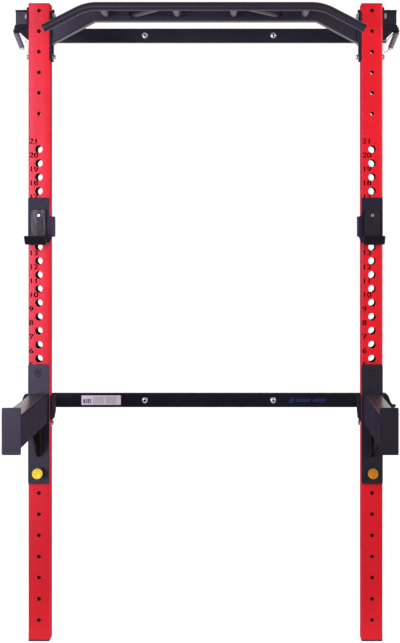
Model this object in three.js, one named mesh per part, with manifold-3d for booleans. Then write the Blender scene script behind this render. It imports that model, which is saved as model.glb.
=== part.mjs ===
// Wall-mounted folding squat rack: two drilled uprights that stand on swing arms off a pair of wall
// rails, with a multi-grip pull-up bar, J-cups, spotter arms and hinge lock pins.
//
// Millimetres, +Z up, floor at z = 0. The rack faces -Y and the wall is at +Y. Inside the rack's group
// y = 0 is the front face of the uprights, and the group is moved so that the whole rack is centred.

import * as THREE from 'three';
import { mergeVertices } from 'three/addons/utils/BufferGeometryUtils.js';
import Module from 'manifold-3d';

const wasm = await Module();
wasm.setup();

// ---------------------------------------------------------------- driving dimensions

const GAP = 0.3;                      // clearance left where two pieces meet
const WALL_Y = 545;                   // wall plane behind the uprights' front faces
const REACH = 617;                    // spotter arm's end plate in front of the uprights

const UPRIGHT = { size: 75, wall: 3, corner: 4, height: 2260, x: 590 };
const CAP = { top: 3, foot: 5 };
const BIG_HOLE = { radius: 13.2, first: 753, pitch: 49.5, count: 21 };
const SMALL_HOLE_RADIUS = 6.7;
const FRONT_SMALL_HOLES = [
  { first: 75, pitch: 75, count: 8 },
  { first: 1869, pitch: 73, count: 6 },
];
const SIDE_SMALL_HOLES = [
  { first: 170, pitch: 150, count: 8 },
  { first: 1562, pitch: 73, count: 10 },
];

const RAIL = { depth: 25, height: 55, wall: 3, half: 690, boltX: 250 };
const ARM = { width: 50, height: 46, wall: 3, block: 30, square: 82, lockY: 320, lockRadius: 10.5 };
const PIVOT = { x: 660, uprightY: 130, wallY: 480, pin: 8, bore: 8.6 };
const EAR = { thick: 5.5, gap: 0.5, radius: 28 };
const PLATE = 6;                      // thickness of the folded steel plates

const LEVELS = {
  upper: { rail: 2214.5, arm: 2219 },
  lower: { rail: 793.5, arm: 793.5 },
};

const BAR = { y: -160, z: 2225, radius: 15, inner: 12.5, bendX: 405, endX: 553, endZ: 2148, bend: 37 };
const BEAM = { y0: 12.5, y1: 62.5, bottom: 2199, height: 58, wall: 3, bendX: 395, endZ: 2118 };
const GRIP_RADIUS = 14;
const GRIPS = [                       // front end and rear end, across the rack
  [-352, -352], [-150, -255], [-100, -100], [100, 100], [150, 255], [352, 352],
];
const SIDE_PLATE = { bottom: 2059, top: 2233, bolts: { upper: 2219, lower: 2073 } };
const BRACKET_BOLT_Z = 770;
const BOLT = { radius: 5.5, hole: 6.7, head: 10.5, nut: 12 };

const CUP = {
  hole: 1495.5, bottom: 1405, lip: 1436, top: 1571, reach: 104, floor: 80, flange: 9.5, back: 88,
};
const CUP_LINER = { half: 25.5, back: 10, floor: 5.5, top: 1528 };
const PIN = { radius: 12, back: 82 };

const SAFETY = {
  plate: 8, bottom: 558, top: 981, pin: 951, knob: 600,
  tubeHalf: 28, tubeBottom: 770, tubeTop: 871, wall: 3,
  end: 6, endHalf: 30, endBottom: 753, endTop: 901,
  gusset: 10, gussetDrop: 114, gussetReach: 200, liner: 5.7,
};
const KNOB = {
  radius: 18, front: -50, back: -28, shaft: 5.4, hole: 6.8, tip: 24, collar: 14, collarFront: -24,
};
const LOCK = { x: 690, y: 108, z: 2175, lean: 22, radius: 9, start: 7, end: 66, head: 8, wire: 1.6 };

// ---------------------------------------------------------------- materials

const steel = (color, roughness, metalness) => new THREE.MeshStandardMaterial({ color, roughness, metalness });
const red = steel('#d6232d', 0.42, 0.1);
const black = steel('#2d2a3a', 0.5, 0.1);
const zinc = steel('#c9c8d2', 0.3, 0.9);
const plastic = steel('#1d1b22', 0.55, 0);
const liner = steel('#4a4250', 0.3, 0);
const yellow = steel('#f2b81e', 0.3, 0);

// ---------------------------------------------------------------- solids

function solid(geometry) {
  geometry.deleteAttribute('normal');
  geometry.deleteAttribute('uv');
  const merged = mergeVertices(geometry, 1e-4);
  return new wasm.Manifold(new wasm.Mesh({
    numProp: 3,
    vertProperties: new Float32Array(merged.attributes.position.array),
    triVerts: new Uint32Array(merged.index.array),
  }));
}

function join(...solids) {
  return solids.reduce((whole, piece) => whole.add(piece));
}

function cut(whole, ...tools) {
  return tools.reduce((rest, tool) => rest.subtract(tool), whole);
}

function geometryOf(manifold) {
  const { vertProperties, triVerts } = manifold.getMesh();
  const geometry = new THREE.BufferGeometry();
  geometry.setAttribute('position', new THREE.BufferAttribute(new Float32Array(vertProperties), 3));
  geometry.setIndex(new THREE.BufferAttribute(new Uint32Array(triVerts), 1));
  geometry.computeVertexNormals();
  return geometry;
}

function box([xa, xb], [ya, yb], [za, zb]) {
  const geometry = new THREE.BoxGeometry(Math.abs(xb - xa), Math.abs(yb - ya), Math.abs(zb - za));
  return solid(geometry.translate((xa + xb) / 2, (ya + yb) / 2, (za + zb) / 2));
}

// A round rod along one axis, from a to b, at the two given coordinates of the other axes in order.
function rod(axis, radius, [a, b], [u, v], sides = 12) {
  const geometry = new THREE.CylinderGeometry(radius, radius, Math.abs(b - a), sides);
  const middle = (a + b) / 2;
  if (axis === 'x') return solid(geometry.rotateZ(Math.PI / 2).translate(middle, u, v));
  if (axis === 'y') return solid(geometry.translate(u, middle, v));
  return solid(geometry.rotateX(Math.PI / 2).translate(u, v, middle));
}

// A rod between two points.
function rodBetween(radius, from, to, sides = 12) {
  const line = new THREE.LineCurve3(from, to);
  const turn = new THREE.Quaternion().setFromUnitVectors(new THREE.Vector3(0, 1, 0), line.getTangent(0));
  const middle = line.getPoint(0.5);
  const geometry = new THREE.CylinderGeometry(radius, radius, line.getLength(), sides);
  return solid(geometry.applyQuaternion(turn).translate(middle.x, middle.y, middle.z));
}

function outline(points) {
  return new THREE.Shape(points.map(([u, v]) => new THREE.Vector2(u, v)));
}

function extruded(shape, depth, curveSegments = 6) {
  return new THREE.ExtrudeGeometry(shape, { depth, bevelEnabled: false, curveSegments });
}

// Flat plates: an outline in one plane, thickened along the third axis.
function plateXY(shape, [z0, z1], segments) {
  return solid(extruded(shape, z1 - z0, segments).translate(0, 0, z0));
}

function plateXZ(shape, [y0, y1], segments) {
  return solid(extruded(shape, y1 - y0, segments).rotateX(Math.PI / 2).translate(0, y1, 0));
}

function plateYZ(shape, [xa, xb], segments) {
  const x0 = Math.min(xa, xb);
  const geometry = extruded(shape, Math.abs(xb - xa), segments);
  return solid(geometry.rotateX(Math.PI / 2).rotateZ(Math.PI / 2).translate(x0, 0, 0));
}

function roundedSquare(half, radius) {
  const shape = new THREE.Shape();
  shape.absarc(half - radius, half - radius, radius, 0, Math.PI / 2);
  shape.absarc(radius - half, half - radius, radius, Math.PI / 2, Math.PI);
  shape.absarc(radius - half, radius - half, radius, Math.PI, Math.PI * 1.5);
  shape.absarc(half - radius, radius - half, radius, Math.PI * 1.5, Math.PI * 2);
  return shape;
}

const rows = ({ first, pitch, count }) => Array.from({ length: count }, (_, i) => first + pitch * i);

// ---------------------------------------------------------------- nodes

const rack = new THREE.Group();
rack.position.y = (REACH - WALL_Y) / 2;

function node(name, manifold, material) {
  const mesh = new THREE.Mesh(geometryOf(manifold), material);
  mesh.name = name;
  rack.add(mesh);
}

const SIDES = { left: -1, right: 1 };
const half = UPRIGHT.size / 2;
const outerFace = UPRIGHT.x + half;
const innerFace = UPRIGHT.x - half;

// ---------------------------------------------------------------- uprights

function upright(side) {
  const x = side * UPRIGHT.x;
  const span = [CAP.foot + GAP, UPRIGHT.height - CAP.top - GAP];
  const tube = plateXY(roundedSquare(half, UPRIGHT.corner), span, 1);
  const hollow = half - UPRIGHT.wall;
  const through = [-half - 5, half + 5];
  const holes = [
    box([-hollow, hollow], [-hollow, hollow], [span[0] - 5, span[1] + 5]),
    ...rows(BIG_HOLE).map((z) => rod('y', BIG_HOLE.radius, through, [0, z], 8)),
    ...FRONT_SMALL_HOLES.flatMap(rows).map((z) => rod('y', SMALL_HOLE_RADIUS, through, [0, z], 6)),
    ...SIDE_SMALL_HOLES.flatMap(rows).map((z) => rod('x', SMALL_HOLE_RADIUS, through, [0, z], 6)),
  ];
  return cut(tube, ...holes).translate(x, half, 0);
}

function cap(side, [z0, z1]) {
  return plateXY(roundedSquare(half, UPRIGHT.corner), [z0, z1], 1).translate(side * UPRIGHT.x, half, 0);
}

for (const [name, side] of Object.entries(SIDES)) {
  node(`upright_${name}`, upright(side), red);
  node(`top_cap_${name}`, cap(side, [UPRIGHT.height - CAP.top, UPRIGHT.height]), red);
  node(`foot_cap_${name}`, cap(side, [0, CAP.foot]), plastic);
}

// ---------------------------------------------------------------- wall rails

function wallRail(z) {
  const height = RAIL.height / 2;
  const front = WALL_Y - RAIL.depth;
  const bolts = [-1, 1].map((s) => rod('y', 6.5, [front - 5, WALL_Y + 5], [s * RAIL.boltX, z], 8));
  return cut(
    box([-RAIL.half, RAIL.half], [front, WALL_Y], [z - height, z + height]),
    box([-RAIL.half - 5, RAIL.half + 5], [front + RAIL.wall, WALL_Y - RAIL.wall],
      [z - height + RAIL.wall, z + height - RAIL.wall]),
    ...bolts,
  );
}

function lagBolt(side, z) {
  const at = [side * RAIL.boltX, z];
  const front = WALL_Y - RAIL.depth - GAP;
  return join(
    rod('y', 5.5, [front - 1, WALL_Y - GAP], at, 8),
    rod('y', 11, [front - 2.5, front], at, 12),
    rod('y', 8.5, [front - 10, front - 2], at, 6),
  );
}

// ---------------------------------------------------------------- fold hinges

// Plan of a clevis ear: a straight base that narrows to a round end about the pin.
function earShape(side, pivotY, baseY, [inner, outer]) {
  const away = Math.sign(pivotY - baseY);
  const shape = new THREE.Shape();
  shape.moveTo(side * inner, baseY);
  shape.lineTo(side * outer, baseY);
  for (let i = 0; i <= 6; i += 1) {
    const angle = Math.PI * i / 6;
    shape.lineTo(side * (PIVOT.x + EAR.radius * Math.cos(angle)), pivotY + away * EAR.radius * Math.sin(angle));
  }
  return shape;
}

// Top and bottom ears about an arm centred at height z.
function ears(side, z, pivotY, baseY, base) {
  const inside = ARM.height / 2 + EAR.gap;
  const shape = earShape(side, pivotY, baseY, base);
  const bore = rod('z', PIVOT.bore, [z - 50, z + 50], [side * PIVOT.x, pivotY]);
  return [-1, 1].map((up) => {
    const levels = [z + up * inside, z + up * (inside + EAR.thick)].sort((a, b) => a - b);
    return cut(plateXY(shape, levels), bore);
  });
}

function wallBracket(side, level) {
  const back = WALL_Y - RAIL.depth - GAP;
  const front = back - PLATE;
  const reach = ARM.height / 2 + EAR.gap + EAR.thick;
  const bottom = Math.min(level.rail - RAIL.height / 2, level.arm - reach);
  return join(
    box([side * 605, side * RAIL.half], [front, back], [bottom, level.arm + reach]),
    ...ears(side, level.arm, PIVOT.wallY, front + 1, [632, 688]),
  );
}

// A box beam between its two hinge blocks. The upper one keeps a square front end.
function swingArm(side, level, squareFront) {
  const x = side * PIVOT.x;
  const w = ARM.width / 2;
  const shape = new THREE.Shape();
  if (squareFront) {
    const chamfer = 3;
    shape.moveTo(x - w, ARM.square + chamfer);
    shape.lineTo(x - w + chamfer, ARM.square);
    shape.lineTo(x + w - chamfer, ARM.square);
    shape.lineTo(x + w, ARM.square + chamfer);
  } else {
    shape.absarc(x, PIVOT.uprightY, w, Math.PI, Math.PI * 2);
  }
  shape.absarc(x, PIVOT.wallY, w, 0, Math.PI);
  const h = ARM.height / 2;
  const through = [level.arm - h - 5, level.arm + h + 5];
  const hollowFront = squareFront ? ARM.square + ARM.wall : PIVOT.uprightY + ARM.block;
  return cut(
    plateXY(shape, [level.arm - h, level.arm + h], 4),
    box([x - w + ARM.wall, x + w - ARM.wall], [hollowFront, PIVOT.wallY - ARM.block],
      [level.arm - h + ARM.wall, level.arm + h - ARM.wall]),
    rod('z', PIVOT.bore, through, [x, PIVOT.uprightY]),
    rod('z', PIVOT.bore, through, [x, PIVOT.wallY]),
    rod('z', ARM.lockRadius, through, [x, ARM.lockY]),
  );
}

function hingePin(side, z, y) {
  const at = [side * PIVOT.x, y];
  const outside = ARM.height / 2 + EAR.gap + EAR.thick + GAP;
  return join(
    rod('z', PIVOT.pin, [z - outside - 6, z + outside + 3], at),
    rod('z', 12, [z + outside, z + outside + 7], at, 6),
    rod('z', 11, [z - outside - 9, z - outside], at, 6),
  );
}

const backPlate = [UPRIGHT.size + GAP, UPRIGHT.size + GAP + PLATE];
const outerPlate = [outerFace + GAP, outerFace + GAP + PLATE];

// Plate on the upright's outer side, with its top front corner rounded.
function outerSidePlate(side, front, [z0, z1]) {
  const radius = 14;
  const shape = new THREE.Shape();
  shape.moveTo(backPlate[1], z0);
  shape.lineTo(backPlate[1], z1);
  shape.absarc(front + radius, z1 - radius, radius, Math.PI / 2, Math.PI);
  shape.lineTo(front, z0);
  return plateYZ(shape, outerPlate.map((x) => side * x));
}

function upperBracket(side) {
  const z = LEVELS.upper.arm;
  const reach = ARM.height / 2 + EAR.gap + EAR.thick;
  const gusset = outline([
    [outerPlate[0], z - reach + 3], [688, z - reach + 3], [688, z - reach - 6],
    [642, 2140], [outerPlate[0], 2140],
  ].map(([x, y]) => [side * x, y]));
  const lug = outline([[676, z - reach + 1.5], [697, z - reach + 1.5], [697, LOCK.z - 5], [683, LOCK.z - 5]]
    .map(([x, y]) => [side * x, y]));
  const body = join(
    outerSidePlate(side, 1, [2178, z + reach]),
    plateXZ(gusset, backPlate),
    box([side * 545, side * outerPlate[1]], backPlate, [z - reach, z + reach]),
    ...ears(side, z, PIVOT.uprightY, backPlate[1] - 1, [575, 686]),
    plateXZ(lug, [LOCK.y + 10, LOCK.y + 14]),
    rod('y', 3, [LOCK.y - 9, LOCK.y + 11], [side * LOCK.x, LOCK.z], 8),
  );
  const boltHole = rod('x', BOLT.hole, [side * 620, side * 640], [half, SIDE_PLATE.bolts.upper], 8);
  return cut(body, boltHole);
}

function lowerBracket(side) {
  const [z0, z1] = [782, 868];
  const hingeBottom = LEVELS.lower.arm - ARM.height / 2 - EAR.gap - EAR.thick;
  const back = outline([
    [556, hingeBottom], [672, hingeBottom], [672, 818], [655, z1 - 6],
    [649, z1], [550, z1], [550, z0], [556, z0],
  ].map(([x, z]) => [side * x, z]));
  const inner = outline([[10, z0], [84, z0], [119, z0 + 22], [119, z1], [10, z1]]);
  return join(
    plateXZ(back, backPlate),
    plateYZ(inner, [side * (innerFace - GAP - PLATE - 1.5), side * (innerFace - GAP)]),
    outerSidePlate(side, 10, [z0, z1]),
    ...ears(side, LEVELS.lower.arm, PIVOT.uprightY, backPlate[1] - 1, [575, 670]),
  );
}

// ---------------------------------------------------------------- pull-up bar

function frontBar() {
  const at = (x, z) => new THREE.Vector3(x, BAR.y, z);
  const lean = Math.atan2(BAR.z - BAR.endZ, BAR.endX - BAR.bendX);
  const bendOut = (side) => at(side * (BAR.bendX + BAR.bend * Math.cos(lean)), BAR.z - BAR.bend * Math.sin(lean));
  const bendIn = (side) => at(side * (BAR.bendX - BAR.bend), BAR.z);
  const bend = (side) => at(side * BAR.bendX, BAR.z);
  const path = new THREE.CurvePath();
  path.add(new THREE.LineCurve3(at(-BAR.endX, BAR.endZ), bendOut(-1)));
  path.add(new THREE.QuadraticBezierCurve3(bendOut(-1), bend(-1), bendIn(-1)));
  path.add(new THREE.LineCurve3(bendIn(-1), bendIn(1)));
  path.add(new THREE.QuadraticBezierCurve3(bendIn(1), bend(1), bendOut(1)));
  path.add(new THREE.LineCurve3(bendOut(1), at(BAR.endX, BAR.endZ)));
  const section = new THREE.Shape().absarc(0, 0, BAR.radius, 0, Math.PI * 2);
  section.holes.push(new THREE.Path().absarc(0, 0, BAR.inner, 0, Math.PI * 2, true));
  return solid(new THREE.ExtrudeGeometry(section, { steps: 36, curveSegments: 5, extrudePath: path }));
}

// Rectangular beam whose ends slope down to the side plates.
function rearBeam() {
  const end = innerFace - GAP - PLATE - GAP;
  const slope = (BEAM.bottom - BEAM.endZ) / (end - BEAM.bendX);
  const halfAngle = Math.atan(slope) / 2;
  const beamShape = (inset, endX) => {
    const bend = (h) => BEAM.bendX + h * Math.tan(halfAngle);
    const level = (h) => BEAM.bottom + h;
    const low = inset;
    const high = BEAM.height - inset;
    const drop = (h) => level(h) - slope * (endX - bend(h));
    return outline([
      [-endX, drop(low)], [-bend(low), level(low)], [bend(low), level(low)], [endX, drop(low)],
      [endX, drop(high)], [bend(high), level(high)], [-bend(high), level(high)], [-endX, drop(high)],
    ]);
  };
  return cut(
    plateXZ(beamShape(0, end), [BEAM.y0, BEAM.y1]),
    plateXZ(beamShape(BEAM.wall, end + 5), [BEAM.y0 + BEAM.wall, BEAM.y1 - BEAM.wall]),
  );
}

function grip([frontX, rearX]) {
  const from = new THREE.Vector3(frontX, BAR.y, BAR.z);
  const to = new THREE.Vector3(rearX, BEAM.y0 + 20, BAR.z);
  const across = [-BAR.bendX, BAR.bendX];
  return cut(
    rodBetween(GRIP_RADIUS, from, to),
    rod('x', BAR.radius + GAP, across, [BAR.y, BAR.z], 20),
    box(across, [BAR.y - 40, BAR.y], [BAR.z - 40, BAR.z + 40]),
    box(across, [BEAM.y0 - GAP, BEAM.y0 + 60], [BAR.z - 40, BAR.z + 40]),
  );
}

function sidePlate(side) {
  const { bottom, top } = SIDE_PLATE;
  const shape = new THREE.Shape();
  shape.moveTo(8, bottom);
  shape.lineTo(UPRIGHT.size - 8, bottom);
  shape.lineTo(UPRIGHT.size, bottom + 8);
  shape.absarc(UPRIGHT.size - 34, top - 34, 34, 0, Math.PI / 2);
  shape.absarc(12, top - 12, 12, Math.PI / 2, Math.PI);
  shape.lineTo(0, bottom + 8);
  const span = [side * (innerFace - GAP - PLATE), side * (innerFace - GAP)];
  const holes = Object.values(SIDE_PLATE.bolts).map((z) => (
    rod('x', BOLT.hole, [side * 530, side * 560], [half, z], 8)));
  return cut(plateYZ(shape, span), ...holes);
}

// A bolt across an upright, from its nut on the inner side to its head on the outer side.
function crossBolt(side, z, innerX, outerX) {
  const at = [half, z];
  const reach = (x0, x1) => [side * x0, side * x1];
  return join(
    rod('x', BOLT.radius, reach(innerX - BOLT.nut, outerX + 2), at, 8),
    rod('x', BOLT.head, reach(innerX - 9, innerX), at, 6),
    rod('x', BOLT.head, reach(outerX, outerX + BOLT.nut), at, 6),
  );
}

// ---------------------------------------------------------------- J-cups

function jCup(side) {
  const x = side * UPRIGHT.x;
  const inner = side * innerFace;
  const face = -GAP;
  const across = [x - half, x + half];
  const tray = outline([
    [face - 1, CUP.bottom], [-CUP.floor, CUP.bottom], [1 - CUP.reach, CUP.lip - 5], [-CUP.reach, CUP.lip],
    [5 - CUP.reach, CUP.lip], [2.5 - CUP.floor, CUP.bottom + PLATE], [face - 1, CUP.bottom + PLATE],
  ]);
  const front = outline([
    [x - half + 5, CUP.bottom], [x + half - 5, CUP.bottom], [x + half, CUP.bottom + 5],
    [x + half, CUP.lip - 4], [x + half - 4, CUP.lip], [x - half + 4, CUP.lip],
    [x - half, CUP.lip - 4], [x - half, CUP.bottom + 5],
  ]);
  const flangeX = inner - side * (CUP.flange + GAP);
  const tab = outline([
    [inner + side * 4, 1409], [inner, 1410], [flangeX, 1432], [flangeX, 1505],
    [inner - side * 3, 1505], [inner, 1511], [inner + side * 4, 1511],
  ]);
  return join(
    box(across, [face - PLATE, face], [CUP.bottom, CUP.top]),
    plateYZ(tray, across).intersect(plateXZ(front, [-CUP.reach - 1, face])),
    plateXZ(tab, [face - PLATE, face]),
    box([flangeX, inner - side * GAP], [face - PLATE, CUP.back], [1432, 1505]),
    rod('y', PIN.radius, [face - 1, PIN.back], [x, CUP.hole]),
  );
}

function jCupLiner(side) {
  const x = side * UPRIGHT.x;
  const back = -GAP * 2 - PLATE;
  const bottom = CUP.bottom + PLATE + GAP;
  const across = [x - CUP_LINER.half, x + CUP_LINER.half];
  return join(
    box(across, [back - CUP_LINER.back, back], [bottom, CUP_LINER.top]),
    box(across, [4 - CUP.floor, back - 1], [bottom, bottom + CUP_LINER.floor]),
  );
}

// ---------------------------------------------------------------- spotter arms

function safetyArm(side) {
  const x = side * UPRIGHT.x;
  const face = -GAP;
  const front = face - SAFETY.plate;
  const end = -REACH + SAFETY.end;
  const { tubeHalf, tubeBottom, tubeTop, wall, gusset, endHalf } = SAFETY;
  const gussetShape = outline([
    [front + 1, tubeBottom + 1], [front + 1, tubeBottom - SAFETY.gussetDrop],
    [front - 14, tubeBottom - SAFETY.gussetDrop], [front - SAFETY.gussetReach, tubeBottom],
    [front - SAFETY.gussetReach, tubeBottom + 1],
  ]);
  const body = join(
    box([x - half, x + half], [front, face], [SAFETY.bottom, SAFETY.top]),
    box([x - tubeHalf, x + tubeHalf], [end - 1, front + 1], [tubeBottom, tubeTop]),
    box([x - endHalf, x + endHalf], [-REACH, end], [SAFETY.endBottom, SAFETY.endTop]),
    plateYZ(gussetShape, [x - gusset / 2, x + gusset / 2]),
    rod('y', PIN.radius, [face - 1, PIN.back], [x, SAFETY.pin]),
    rod('y', KNOB.collar, [KNOB.collarFront, front + 1], [x, SAFETY.knob]),
  );
  return cut(
    body,
    box([x - tubeHalf + wall, x + tubeHalf - wall], [end, front], [tubeBottom + wall, tubeTop - wall]),
    rod('z', 6, [tubeBottom - 5, tubeBottom + 10], [x, end + 60], 8),
    rod('y', KNOB.hole, [KNOB.collarFront - 5, 5], [x, SAFETY.knob]),
  );
}

function safetyLiner(side) {
  const x = side * UPRIGHT.x;
  const bottom = SAFETY.tubeTop + GAP;
  return box([x - SAFETY.tubeHalf, x + SAFETY.tubeHalf],
    [-REACH + SAFETY.end + GAP, -SAFETY.plate - GAP * 2], [bottom, bottom + SAFETY.liner]);
}

function safetyKnob(side) {
  const at = [side * UPRIGHT.x, SAFETY.knob];
  return join(
    rod('y', KNOB.shaft, [KNOB.back - 1, KNOB.tip], at),
    rod('y', KNOB.radius, [KNOB.front + 5, KNOB.back], at, 16),
    rod('y', KNOB.radius - 4, [KNOB.front, KNOB.front + 6], at, 16),
  );
}

// ---------------------------------------------------------------- lock pins

// A steel pin that hangs by its eye from the upper bracket, with a spring-wire bail beside it.
function lockPin(side) {
  const lean = THREE.MathUtils.degToRad(LOCK.lean);
  const along = (distance, offset = 0) => new THREE.Vector3(
    side * (LOCK.x - distance * Math.sin(lean) - offset * Math.cos(lean)),
    LOCK.y,
    LOCK.z - distance * Math.cos(lean) + offset * Math.sin(lean),
  );
  const bail = new THREE.CatmullRomCurve3([
    along(6, 4), along(22, 14), along(50, 21), along(82, 19), along(86, 10), along(70, 3),
  ]);
  const wire = new THREE.ExtrudeGeometry(
    new THREE.Shape().absarc(0, 0, LOCK.wire, 0, Math.PI * 2),
    { steps: 16, curveSegments: 3, extrudePath: bail },
  );
  const eye = rod('y', LOCK.head, [LOCK.y - 5, LOCK.y + 5], [side * LOCK.x, LOCK.z]);
  return cut(
    join(
      eye,
      rodBetween(LOCK.radius, along(LOCK.start), along(LOCK.end)),
      rodBetween(LOCK.radius - 2.5, along(LOCK.end - 1), along(LOCK.end + 7)),
      solid(wire),
    ),
    rod('y', 3.4, [LOCK.y - 12, LOCK.y + 12], [side * LOCK.x, LOCK.z], 8),
  );
}

// ---------------------------------------------------------------- assembly

for (const [levelName, level] of Object.entries(LEVELS)) {
  node(`wall_rail_${levelName}`, wallRail(level.rail), black);
  for (const [name, side] of Object.entries(SIDES)) {
    const at = `${levelName}_${name}`;
    node(`lag_bolt_${at}`, lagBolt(side, level.rail), zinc);
    node(`wall_bracket_${at}`, wallBracket(side, level), black);
    node(`swing_arm_${at}`, swingArm(side, level, levelName === 'upper'), black);
    node(`wall_pin_${at}`, hingePin(side, level.arm, PIVOT.wallY), zinc);
    node(`upright_pin_${at}`, hingePin(side, level.arm, PIVOT.uprightY), zinc);
    const z = SIDE_PLATE.bolts[levelName];
    const outer = levelName === 'upper' ? outerPlate[1] + GAP : outerFace + GAP;
    node(`side_plate_bolt_${at}`, crossBolt(side, z, innerFace - PLATE - GAP * 2, outer), zinc);
  }
}

node('pull_up_front_bar', frontBar(), black);
node('pull_up_rear_beam', rearBeam(), black);
GRIPS.forEach((ends, i) => node(`pull_up_grip_${i + 1}`, grip(ends), black));

for (const [name, side] of Object.entries(SIDES)) {
  node(`upright_bracket_upper_${name}`, upperBracket(side), black);
  node(`upright_bracket_lower_${name}`, lowerBracket(side), black);
  node(`bracket_bolt_${name}`, crossBolt(side, BRACKET_BOLT_Z, innerFace - GAP, outerFace + GAP), zinc);
  node(`pull_up_side_plate_${name}`, sidePlate(side), black);
  node(`j_cup_${name}`, jCup(side), black);
  node(`j_cup_liner_${name}`, jCupLiner(side), plastic);
  node(`safety_arm_${name}`, safetyArm(side), black);
  node(`safety_arm_liner_${name}`, safetyLiner(side), liner);
  node(`safety_knob_${name}`, safetyKnob(side), yellow);
  node(`lock_pin_${name}`, lockPin(side), zinc);
}

export default rack;
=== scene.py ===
"""Looks of the wall-mounted folding squat rack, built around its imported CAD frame.

Shapes are made in millimetres in the rack's own frame: x across, z up from the floor, and y = 0 on the
front faces of the uprights, with the wall at +y. put() turns them into metres in the CAD's frame.
"""
import math

import bmesh
import bpy
from mathutils import Matrix, Vector


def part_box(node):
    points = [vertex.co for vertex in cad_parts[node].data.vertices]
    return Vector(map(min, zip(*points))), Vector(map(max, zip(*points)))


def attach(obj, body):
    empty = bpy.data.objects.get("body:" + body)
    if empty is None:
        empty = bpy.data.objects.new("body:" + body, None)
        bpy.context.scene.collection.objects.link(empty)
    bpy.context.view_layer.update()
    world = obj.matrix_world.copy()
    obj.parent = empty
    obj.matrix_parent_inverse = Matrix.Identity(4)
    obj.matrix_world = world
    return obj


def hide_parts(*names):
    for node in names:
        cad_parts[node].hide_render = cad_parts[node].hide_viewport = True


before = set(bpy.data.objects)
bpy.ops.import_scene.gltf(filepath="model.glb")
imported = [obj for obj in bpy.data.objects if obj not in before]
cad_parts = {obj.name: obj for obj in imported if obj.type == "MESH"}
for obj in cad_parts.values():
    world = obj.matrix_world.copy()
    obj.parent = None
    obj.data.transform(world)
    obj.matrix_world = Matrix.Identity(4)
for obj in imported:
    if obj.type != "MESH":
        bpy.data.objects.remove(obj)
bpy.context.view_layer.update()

MM = 0.001
SIDES = {"left": -1, "right": 1}
FRONT = "front_frame"  # the body of the uprights and of all that is fixed to them
# Directions: the wall is behind the uprights.
FORWARD, BACK = (0, -1, 0), (0, 1, 0)
UP, DOWN = (0, 0, 1), (0, 0, -1)
FACE_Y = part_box("upright_left")[0].y / MM


def node_box(node):
    """A CAD node's lowest and highest corner, in this file's millimetres."""
    return [corner / MM - Vector((0, FACE_Y, 0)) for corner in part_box(node)]


def node_middle(node):
    """The middle of a CAD node's box."""
    return [(a + b) / 2 for a, b in zip(*node_box(node))]

# ---- sizes, read from the frame

tube_low, tube_high = node_box("upright_right")
TUBE = tube_high.x - tube_low.x
HALF = TUBE / 2
UPRIGHT_X = (tube_low.x + tube_high.x) / 2
OUTER_FACE = UPRIGHT_X + HALF
INNER_FACE = UPRIGHT_X - HALF

# Hole columns, as (first height, pitch, count).
NUMBERED_HOLES = (753, 49.5, 21)
NUMBERED_RADIUS = 13.2
SMALL_FRONT = ((75, 75, 8), (1869, 73, 6))
SMALL_SIDE = ((170, 150, 8), (1562, 73, 10))
SMALL_RADIUS = 6.5
J_CUP_HOLE, SAFETY_HOLE = 15, 4  # which numbered hole carries each, counted from 0

PLATE = 6  # thickness of the bracket and cup plates
EAR = 5.5  # thickness of a hinge ear
GAP = 0.3  # play between a plate and the upright
EAR_GAP = 0.5  # play between a hinge ear and its arm
WALL = 3  # wall thickness of the tubes


def column(holes):
    """The heights of a column's holes."""
    first, pitch, count = holes
    return [first + pitch * i for i in range(count)]


# ---- mesh helpers


def ring(radius, count, centre=(0, 0), start=0.0, turn=2 * math.pi):
    """Points on a circle or an arc, counter-clockwise. A full circle leaves its last point out."""
    steps = count if abs(turn) > 6.28 else count - 1
    return [
        (centre[0] + radius * math.cos(start + turn * i / steps),
         centre[1] + radius * math.sin(start + turn * i / steps))
        for i in range(count)
    ]


def rounded(width, height, radius, centre=(0, 0), steps=5):
    """A rectangle with round corners, counter-clockwise."""
    u, v = width / 2 - radius, height / 2 - radius
    points = []
    for i, (su, sv) in enumerate(((1, 1), (-1, 1), (-1, -1), (1, -1))):
        corner = (centre[0] + su * u, centre[1] + sv * v)
        points += ring(radius, steps, corner, i * math.pi / 2, math.pi / 2)
    return points


def bend(start, corner, end, steps):
    """Points on a curve from start to end that a corner pulls on."""
    shares = [k / (steps - 1) for k in range(steps)]
    return [start * (1 - t) ** 2 + corner * 2 * t * (1 - t) + end * t ** 2 for t in shares]


def softened(points, radii, steps=5):
    """An outline with rounded corners: one radius, or one for each corner."""
    count = len(points)
    radii = [radii] * count if isinstance(radii, (int, float)) else radii
    out = []
    for i, radius in enumerate(radii):
        here = Vector(points[i])
        before = (Vector(points[i - 1]) - here).normalized()
        after = (Vector(points[(i + 1) % count]) - here).normalized()
        out += [tuple(p) for p in bend(here + before * radius, here, here + after * radius, steps)]
    return out


def panel(x0, x1, z0, z1, radii, steps=5):
    """A rectangle given by its sides, with corners rounded by softened()."""
    return softened([(x0, z0), (x1, z0), (x1, z1), (x0, z1)], radii, steps)


def place(axis, u, v, w):
    """A point from its two section coordinates and its coordinate along the axis."""
    return {"x": (w, u, v), "y": (u, w, v), "z": (u, v, w)}[axis]


def face(bm, verts):
    """A face, unless its corners fall together."""
    if len(set(verts)) > 2:
        bm.faces.new(verts)


def bridge(bm, a, b):
    """Faces between two loops of the same length."""
    for i in range(len(a)):
        face(bm, (a[i - 1], a[i], b[i], b[i - 1]))


def prism(bm, points, axis, start, end):
    """A flat outline made thick along one axis."""
    rows = [[bm.verts.new(place(axis, u, v, w)) for u, v in points] for w in sorted((start, end))]
    bridge(bm, *rows)
    face(bm, rows[0])
    face(bm, rows[1][::-1])


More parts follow.
